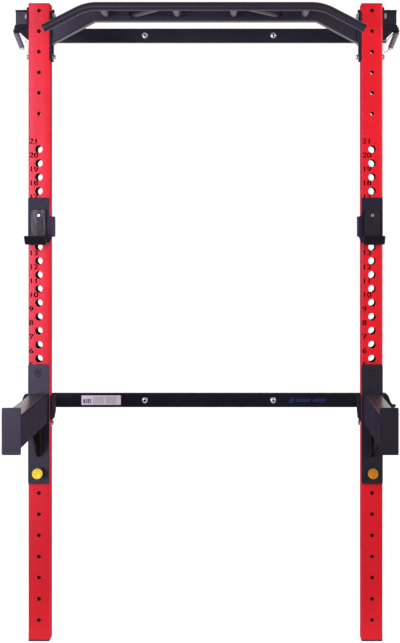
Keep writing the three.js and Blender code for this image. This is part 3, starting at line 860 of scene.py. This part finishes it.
def rail_prints():
    """On the lower rail, a blank pale sticker with grey panels and three plain slanted bars."""
    y = node_box("wall_rail_lower")[0].y
    middle = node_middle("wall_rail_lower")[2]
    sticker = panel(-497, -344, middle - 18, middle + 19, 2)
    put_plate("rail_sticker", sticker, "y", y - 0.35, y - 0.05, "wall_side", PAPER)
    bm = bmesh.new()
    block(bm, (-490, -483), (y - 0.5, y - 0.3), (middle - 11, middle + 4))
    for i, thick in enumerate((2.6, 1.6, 3.2, 1.8, 2.6, 2.2)):
        start = -480 + i * 3.7
        block(bm, (start, start + thick), (y - 0.5, y - 0.3), (middle - 13, middle + 6))
    for i in range(6):
        row = middle - 12 + i * 4.4
        for line in ((-452, -410), (-402, -362)):
            block(bm, line, (y - 0.45, y - 0.3), (row, row + 1))
    put("rail_sticker_print", bm, "wall_side", GREY_INK)
    bm = bmesh.new()
    for x0, x1, tall in ((310, 326, 22), (336, 392, 14), (402, 452, 14)):
        lean = tall * 0.35
        bottom, top = middle - tall / 2, middle + tall / 2
        prism(bm, [(x0, bottom), (x1, bottom), (x1 + lean, top), (x0 + lean, top)], "y", y - 0.3, y - 0.05)
    put("rail_decal", bm, "wall_side", BLUE_INK)


rail_prints()

# ---- pull-up bar

bar_high = node_box("pull_up_front_bar")[1]
beam_low, beam_high = node_box("pull_up_rear_beam")
BAR_RADIUS = 15
BAR_Y = node_middle("pull_up_front_bar")[1]
BAR_Z = bar_high.z - BAR_RADIUS
BAR_BEND, BAR_END, BAR_END_Z = 405, 553, 2148
BEND_REACH = 37  # how far each side of its corner the bar's bend goes
BEAM_BEND = 395
BEAM_HEIGHT = 58
GRIP_RADIUS = 14
# Where each grip's axis meets the bar's axis and the beam's face, from side to side.
GRIP_ENDS = [(-352, -352), (-150, -255), (-100, -100), (100, 100), (150, 255), (352, 352)]


def front_bar_path():
    """The round bar's centre line: level in the middle, curving down to its free ends."""
    lean = math.atan2(BAR_Z - BAR_END_Z, BAR_END - BAR_BEND)
    corner = Vector((BAR_BEND, BAR_Z))
    inward, outward = Vector((-BEND_REACH, 0)), BEND_REACH * Vector((math.cos(lean), -math.sin(lean)))
    half = bend(corner + inward, corner, corner + outward, 15) + [(BAR_END, BAR_END_Z)]
    return [(-x, BAR_Y, z) for x, z in half[::-1]] + [(x, BAR_Y, z) for x, z in half]


def front_bar():
    path = front_bar_path()
    bm = bmesh.new()
    sweep(bm, ring(BAR_RADIUS, 40), path, caps=False)
    put("front_bar_tube", bm, FRONT, BLACK, ["pull_up_front_bar"])
    r = BAR_RADIUS
    plug = [(r, -0.4), (r - 0.2, 0.0), (r - 2.4, 0.0), (r - 2.6, -1.2), (6, -0.7), (0, -0.6)]
    bm = bmesh.new()
    for end, inner in ((path[0], path[1]), (path[-1], path[-2])):
        lathe(bm, plug, end, (Vector(end) - Vector(inner)).normalized(), 40)
    put("front_bar_plugs", bm, FRONT, PLASTIC, angle=40)


def rear_beam():
    """The rectangular beam, mitred where its ends slope down, with its welds."""
    end = beam_high.x
    low, top = beam_high.z - BEAM_HEIGHT, beam_high.z
    front, back = beam_low.y, beam_high.y
    slope = (low - beam_low.z) / (end - BEAM_BEND)
    lift = BEAM_HEIGHT / 2
    bend_x = BEAM_BEND + lift * math.tan(math.atan(slope) / 2)
    end_z = low + lift - slope * (end - bend_x)
    y = (front + back) / 2
    path = [(-end, y, end_z), (-bend_x, y, low + lift), (bend_x, y, low + lift), (end, y, end_z)]
    bm = bmesh.new()
    sweep(bm, rounded(BEAM_HEIGHT, back - front, 4), path, ends=((1, 0, 0), (1, 0, 0)))
    put("rear_beam_tube", bm, FRONT, BLACK, ["pull_up_rear_beam"], bevel=0.01, angle=70)
    bm = bmesh.new()
    tall = lift / math.cos(math.atan(slope))
    for side in (-1, 1):
        low_x, high_x = side * BEAM_BEND, side * (2 * bend_x - BEAM_BEND)
        heights = (end_z - tall + 1, end_z + tall - 1)
        weld_round(bm, "x", (front + 1, back - 1), heights, side * (end - 1.2), 2.6)
        for y0 in (front, back):
            weld(bm, [(low_x, y0, low + 2), (high_x, y0, top - 2)], 1.2, up=BACK)
        weld(bm, [(low_x, front + 3, low), (low_x, back - 3, low)], 1.2)
        weld(bm, [(high_x, front + 3, top - 0.6), (high_x, back - 3, top - 0.6)], 0.9)
    put("rear_beam_welds", bm, FRONT, BLACK)


def grips():
    """Round tubes from the bar to the beam, with a bead round each end."""
    beads = bmesh.new()
    for i, (front_x, rear_x) in enumerate(GRIP_ENDS):
        start = Vector((front_x, BAR_Y, BAR_Z))
        along = (Vector((rear_x, beam_low.y, BAR_Z)) - start).normalized()
        reach = (beam_low.y - BAR_Y) / along.y
        bm = bmesh.new()
        lathe(bm, [(GRIP_RADIUS, 8), (GRIP_RADIUS, reach + 2)], start, along, 36)
        put(f"grip_tube_{i + 1}", bm, FRONT, BLACK, [f"pull_up_grip_{i + 1}"])
        centre = start + along * reach
        loop = [(centre.x + u / along.y, beam_low.y, centre.z + v) for u, v in ring(GRIP_RADIUS, 40)]
        weld(beads, loop, 2.4, True, BACK)
        saddle = []
        for u, v in ring(GRIP_RADIUS, 40):
            at = start + along * (math.sqrt(BAR_RADIUS ** 2 - v * v) / along.y)
            saddle.append((at.x + u / along.y, at.y, BAR_Z + v))
        weld(beads, saddle, 1.8, True, BACK)
    put("grip_welds", beads, FRONT, BLACK)


def side_plate(name):
    """The plate at an end of the beam, bolted to the upright."""
    node = f"pull_up_side_plate_{name}"
    low, high = node_box(node)
    outline = panel(low.y, high.y, low.z, high.z, [8, 8, 34, 14], 9)
    # The plate takes the paler black: painted sheen, as it is seen edge-on.
    put_plate(f"side_plate_{name}", outline, "x", low.x, high.x, FRONT, PAINTED_SHEEN_BLACK, replaces=[node], bevel=0.8)


front_bar()
rear_beam()
grips()
for name in SIDES:
    side_plate(name)

# ---- J-cups

LIP_HIGH = 1436  # top of the cup's front lip
FLANGE_LOW, FLANGE_HIGH = 1432.2, 1504.8  # the flange beside the upright
FLANGE_THICK = 9.4
SCREW_Z = 1508  # height of the liner's screw
TRAY_END = -80  # where the tray turns up to its lip


def hole_pin(bm, x, z):
    """The pin that goes into a numbered hole."""
    lathe(bm, [(12, 0), (12, 78), (10.5, 82), (0, 82)], (x, -1, z), BACK, 36)


def j_cup(name, side):
    """A plate with a flange round the upright, a lipped tray and a plastic liner. The flange and the plate's
    sides are painted paler as sheen, the tray darker as shade.
    """
    body = f"j_cup_{name}"
    low, high = node_box(body)
    x = side * UPRIGHT_X
    bottom, reach, front = low.z, low.y, -GAP - PLATE
    shelf = bottom + PLATE
    left, right = x - HALF, x + HALF
    ear = HALF + 9.8
    outline = softened([(-HALF, bottom), (HALF, bottom), (HALF, 1409), (ear, 1432), (ear, 1505),
                        (HALF + 3, 1505), (HALF, 1511), (HALF, high.z), (-HALF, high.z)],
                       [2, 2, 6, 6, 1.5, 2, 3, 5, 5])
    bm = bmesh.new()
    prism(bm, [(x - side * u, v) for u, v in outline], "y", front, -GAP)
    inner = side * INNER_FACE
    # The flange takes the paler black: painted sheen.
    put_plate(f"{body}_flange", panel(-1, high.y, FLANGE_LOW, FLANGE_HIGH, [0.1, 12, 12, 0.1]), "x",
              inner - side * GAP, inner - side * (GAP + FLANGE_THICK), body, FLANGE_SHEEN, bevel=0.9, angle=40)
    hole_pin(bm, x, column(NUMBERED_HOLES)[J_CUP_HOLE])
    # The plate's sides take the paler black: painted sheen.
    put(f"{body}_steel", bm, body, CUP_BLACK, [body], bevel=0.9, angle=40, sides=FLANGE_SHEEN)
    tray = softened([(-1, bottom), (TRAY_END, bottom), (reach, LIP_HIGH - 4), (reach, LIP_HIGH),
                     (reach + 5, LIP_HIGH), (TRAY_END + 2.5, shelf), (-1, shelf)],
                    [0.1, 5, 1.5, 1.5, 1.5, 4, 0.1], 6)
    # The tray takes the darker black: painted shade.
    piece = put_plate(f"{body}_tray", tray, "x", left, right, body, SHADED_BLACK)
    keep = bmesh.new()
    prism(keep, panel(left, right, bottom - 0.1, LIP_HIGH + 0.1, [6, 6, 4, 4]), "y", reach - 5, 5)
    carved(piece, keep, "INTERSECT")
    bevelled(piece, 0.8, angle=40)
    bm = bmesh.new()
    weld(bm, [(left + 6, front, shelf), (right - 6, front, shelf)], 1.8)
    weld(bm, [(left + 7, front, bottom), (right - 7, front, bottom)], 1.6)
    put(f"{body}_welds", bm, body, BLACK)

    low, high = node_box(f"j_cup_liner_{name}")
    bm = bmesh.new()
    prism(bm, panel(low.x, high.x, low.z, high.z, [1, 1, 7, 7]), "y", high.y - 10, high.y)
    block(bm, (low.x, high.x), (low.y, high.y - 5), (low.z, low.z + 5.5))
    fillet = [(high.y - 9, low.z + 4)] + ring(12, 7, (high.y - 22, low.z + 17.5), 0, -math.pi / 2)
    prism(bm, fillet, "x", low.x + 0.5, high.x - 0.5)
    put(f"{body}_pad", bm, body, PAD, [f"j_cup_liner_{name}"], bevel=2.4, segments=4)
    screw = [(0, -0.2), (2.2, -0.2), (2.2, 0.9), (4.6, 1.1), (5.6, 0.2), (5.8, -0.8), (0, -0.8)]
    bm = bmesh.new()
    lathe(bm, screw, (x, high.y - 10, SCREW_Z), FORWARD, 32)
    put(f"{body}_screw", bm, body, ZINC)


for name, side in SIDES.items():
    j_cup(name, side)

# ---- spotter arms

ARM_LOW = 770  # the arm tube's underside
END_LOW, END_HIGH, END_HALF = 753, 901, 30  # the end plate's heights and half its width
KNOB_Z = 600  # height of the knob's boss on the mount plate
MOUNT = 8  # thickness of the mount plate
GUSSET_HALF = 4.5  # half the gusset's thickness


def safety_arm(name, side):
    """A mount plate, a box tube with an end plate, a gusset under it and a liner on top. The plates' and
    liner's sides are painted paler as sheen, the tube lighter as painted light, and the gusset darker as
    painted shade.
    """
    body = f"safety_arm_{name}"
    liner = f"safety_arm_liner_{name}"
    low, high = node_box(body)
    liner_low, liner_high = node_box(liner)
    x = side * UPRIGHT_X
    front = -GAP - MOUNT
    arm_high = liner_low.z - GAP
    half = (liner_high.x - liner_low.x) / 2
    end = low.y + PLATE
    pin_z = column(NUMBERED_HOLES)[SAFETY_HOLE]
    mount = panel(x - HALF, x + HALF, low.z, high.z, 6)
    # The mount plate's sides take the paler black: painted sheen.
    piece = put_plate(f"{body}_mount", mount, "y", front, -GAP, body, BLACK, sides=PAINTED_SHEEN_BLACK)
    grooves = bmesh.new()
    for outer, inner in ((13.6, 11.4), (6.9, 4.2)):
        pipe(grooves, ring(outer, 44, (x, pin_z)), ring(inner, 44, (x, pin_z)), "y", front - 1, front + 2.4)
    carved(piece, grooves)
    bevelled(piece, 0.7, angle=40)
    bm = bmesh.new()
    prism(bm, panel(x - END_HALF, x + END_HALF, END_LOW, END_HIGH, 5), "y", low.y, end)
    hole_pin(bm, x, pin_z)
    lathe(bm, [(14, -1), (14, 13.4), (12.6, 15), (7, 15), (7, 13)], (x, front, KNOB_Z), FORWARD, 40)
    # The end plate's sides take the paler black too: painted sheen.
    put(f"{body}_plates", bm, body, BLACK, [body], bevel=0.6, angle=40, sides=PAINTED_SHEEN_BLACK)
    bm = bmesh.new()
    middle = (x, (ARM_LOW + arm_high) / 2)
    box_tube(bm, 2 * half, arm_high - ARM_LOW, (5, 2), middle, "y", end - 1, front + 1, 7)
    # The tube takes a lighter black: painted light.
    put(f"{body}_tube", bm, body, LIT_TUBE_BLACK, angle=50)
    # The gusset takes the darker black, and near black on its sides: painted shade.
    gusset = softened([(front + 0.5, ARM_LOW + 1), (front + 0.5, ARM_LOW - 114), (front - 14, ARM_LOW - 114),
                       (front - 200, ARM_LOW - 3), (front - 200, ARM_LOW + 1)], [0.1, 0.1, 6, 4, 0.1])
    put_plate(f"{body}_gusset", gusset, "x", x - GUSSET_HALF, x + GUSSET_HALF, body, SHADED_BLACK, bevel=0.9,
              angle=40, sides=SHADOW_BLACK)
    bm = bmesh.new()
    for inset, y, radius in ((0, front, 2.6), (1, end, 1.8)):
        across = (x - half + inset, x + half - inset)
        tall = (ARM_LOW + inset, arm_high - inset)
        weld_round(bm, "y", across, tall, y, radius)
    for edge in (x - GUSSET_HALF, x + GUSSET_HALF):
        weld(bm, [(edge, front, ARM_LOW - 112), (edge, front, ARM_LOW)], 2.0, up=BACK)
        weld(bm, [(edge, front - 4, ARM_LOW), (edge, front - 196, ARM_LOW)], 2.0)
    put(f"{body}_welds", bm, body, BLACK)

    section = panel(x - half, x + half, liner_low.z, liner_high.z, [0.3, 0.3, 0.8, 0.8])
    # The liner's sides take the paler black: painted sheen.
    put_plate(f"{body}_liner", section, "y", liner_low.y, liner_high.y - 2, body, LINER, replaces=[liner],
              bevel=0.3, angle=50, sides=PAINTED_SHEEN_BLACK)


def safety_knob(name, side):
    """A ribbed knob on the plunger that goes through the mount plate."""
    node = f"safety_knob_{name}"
    low, high = node_box(node)
    x, z = side * UPRIGHT_X, node_middle(node)[2]
    back = low.y + 22
    turns = (0.0, 0.4, 0.8, 1.2, 1.57, 2.0, 2.4)
    rim = [(15.6 + 2.3 * math.cos(a), 19.7 + 2.3 * math.sin(a)) for a in turns]
    profile = [(0, 0), (14.5, 0), (16.8, 1.2), (17.9, 4)] + rim + [(12.6, 20.5), (6, 19.8), (0, 19.6)]
    bm = bmesh.new()
    lathe(bm, profile, (x, back, z), FORWARD, 48)
    for u, v in ring(17.6, 24):
        lathe(bm, [(0, 4.5), (0.5, 4.7), (0.55, 17.5), (0, 17.8)], (x + u, back, z + v), FORWARD, 8)
    # Each knob takes its side's copy of the yellow, with its painted highlight or painted shade.
    put(f"{node}_cap", bm, node, KNOB_LIT_AND_SHADED[name], [node], angle=40)
    length = high.y - back
    bm = bmesh.new()
    lathe(bm, [(5.4, -1), (5.4, length - 4), (4, length), (0, length)], (x, back, z), BACK, 28)
    put(f"{node}_plunger", bm, node, ZINC, angle=40)


for name, side in SIDES.items():
    safety_arm(name, side)
    safety_knob(name, side)

# ---- lock pins

LOCK_LEAN = math.radians(22)
EYE_X, EYE_Y, EYE_Z = 690, 108, 2175
LUG_INNER, LUG_OUTER = 676, 697
# The wire bail's bends, as distances along the pin and across it.
BAIL = [(6, 4), (22, 14), (50, 21), (82, 19), (86, 10), (70, 3)]


def curve_through(points, steps=8):
    """A smooth curve through the points."""
    smooth = []
    for i in range(len(points) - 1):
        p = [points[max(i - 1, 0)], points[i], points[i + 1], points[min(i + 2, len(points) - 1)]]
        for k in range(steps):
            t = k / steps
            square = 2 * p[0] - 5 * p[1] + 4 * p[2] - p[3]
            cube = 3 * p[1] - p[0] - 3 * p[2] + p[3]
            smooth.append(0.5 * (2 * p[1] + (p[2] - p[0]) * t + square * t * t + cube * t ** 3))
    return smooth + [points[-1]]


def lock_pin(name, side):
    """A pin hanging from a lug beside the upper bracket, with its eye, collar and wire bail."""
    body = f"lock_pin_{name}"
    eye = Vector((side * EYE_X, EYE_Y, EYE_Z))
    down = Vector((-side * math.sin(LOCK_LEAN), 0, -math.cos(LOCK_LEAN)))
    across = Vector((-side * math.cos(LOCK_LEAN), 0, math.sin(LOCK_LEAN)))
    bm = bmesh.new()
    lathe(bm, [(0, 8), (8.2, 8), (9.7, 9.5), (9.7, 24), (9.2, 24.4), (9.2, 25.6), (9.7, 26), (9.7, 58),
               (9.2, 58.4), (9.2, 59.6), (9.7, 60), (9.7, 63), (8, 66), (0, 66)], eye, down, 40)
    put(f"{body}_shank", bm, body, SLEEVE, [body], angle=40)
    bm = bmesh.new()
    lathe(bm, [(3.4, -5), (7.6, -5), (8, -4.4), (8, 4.4), (7.6, 5), (3.4, 5), (3.4, -5)], eye, BACK, 40)
    lathe(bm, [(0, 5.5), (8.8, 5.5), (9.6, 6.4), (9.6, 12.4), (9, 13), (0, 13)], eye, down, 40)
    put(f"{body}_head", bm, body, PLASTIC, angle=40)
    bm = bmesh.new()
    lathe(bm, [(0, 65.5), (6.4, 65.5), (6.9, 66.2), (6.9, 71.6), (6, 73), (0, 73)], eye, down, 36)
    put(f"{body}_collar", bm, body, WHITE, angle=40)
    bm = bmesh.new()
    sweep(bm, ring(1.5, 12), curve_through([eye + down * a + across * b for a, b in BAIL]))
    put(f"{body}_bail", bm, body, ZINC)
    low = ear_heights("upper", name)[0][0]
    lug = panel(*sorted((side * LUG_INNER, side * LUG_OUTER)), low + 1.5, EYE_Z - 5, 2)
    bm = bmesh.new()
    prism(bm, lug, "y", EYE_Y + 10, EYE_Y + 14)
    lathe(bm, [(3, 20), (3, 1), (2.4, 0), (0, 0)], eye + Vector((0, -9, 0)), BACK, 24)
    put(f"lock_lug_{name}", bm, FRONT, BLACK, bevel=0.4, angle=45)


for name, side in SIDES.items():
    lock_pin(name, side)

# ---- floor, light and camera


def stage():
    """The floor: pale and faintly glowing behind, greyer in front of the rack."""
    bm = bmesh.new()
    bmesh.ops.create_grid(bm, x_segments=1, y_segments=1, size=14)
    floor = mesh_object("floor", bm)
    nodes = surface("pale_floor")
    depth = nodes.spread(nodes.position("Y"), 0.0, 1.0, -0.5, 0.03)
    glow = nodes.spread(nodes.position("Y"), 0.0, 0.5, -0.2, 0.03)
    nodes.link(nodes.blend(depth, (0.52, 0.52, 0.53), (0.96, 0.96, 0.96)), nodes.inputs["Base Color"])
    nodes.link(glow, nodes.inputs["Emission Strength"])
    nodes.link(nodes.spread(nodes.noise(30, 3), 0.6, 0.75), nodes.inputs["Roughness"])
    nodes.inputs["Emission Color"].default_value = (1, 1, 1, 1)
    floor.data.materials.append(nodes.owner)


def lamp(name, spot, target, size, power, spread, colour=(1, 1, 1)):
    """A rectangular lamp that points at a target."""
    data = bpy.data.lights.new(name, "AREA")
    data.shape = "RECTANGLE"
    data.size, data.size_y = size
    data.energy = power
    data.spread = math.radians(spread)
    data.color = colour
    light = linked(name, data)
    light.location = spot
    light.rotation_euler = (Vector(target) - Vector(spot)).to_track_quat("-Z", "Y").to_euler()


CAMERA_X, CAMERA_Z = 0.140, 1.4535
CAMERA_BACK = 5.2  # from the uprights' front faces


def camera():
    """A level camera that looks straight at the wall, shifted so that the rack fills the picture."""
    data = bpy.data.cameras.new("camera")
    data.lens = 82.2
    data.sensor_width = 36
    data.shift_x = -0.070
    data.shift_y = -0.1410
    data.clip_end = 60
    view = linked("camera", data)
    view.location = (CAMERA_X, FACE_Y * MM - CAMERA_BACK, CAMERA_Z)
    view.rotation_euler = (math.pi / 2, 0, 0)
    bpy.context.scene.camera = view


def studio():
    """A white backdrop behind the rack, with a dimmer room in front of it."""
    nodes = Nodes(bpy.data.worlds.new("studio"), "Background", "Generated")
    nodes.link(nodes.spread(nodes.position("Y"), 0.30, 1.02, -0.3, 0.6), nodes.inputs["Strength"])
    nodes.inputs["Color"].default_value = (1, 1, 1, 1)
    bpy.context.scene.world = nodes.owner


bpy.context.scene.view_settings.view_transform = "Standard"
studio()
stage()
lamp("key", (-2.0, -3.2, 1.6), (-0.3, 0, 1.8), (1.0, 2.2), 34, 80, (0.84, 0.79, 1))
lamp("fill", (3.6, -2.4, 2.5), (0.3, 0, 1.6), (1.4, 1.4), 36, 85)
camera()
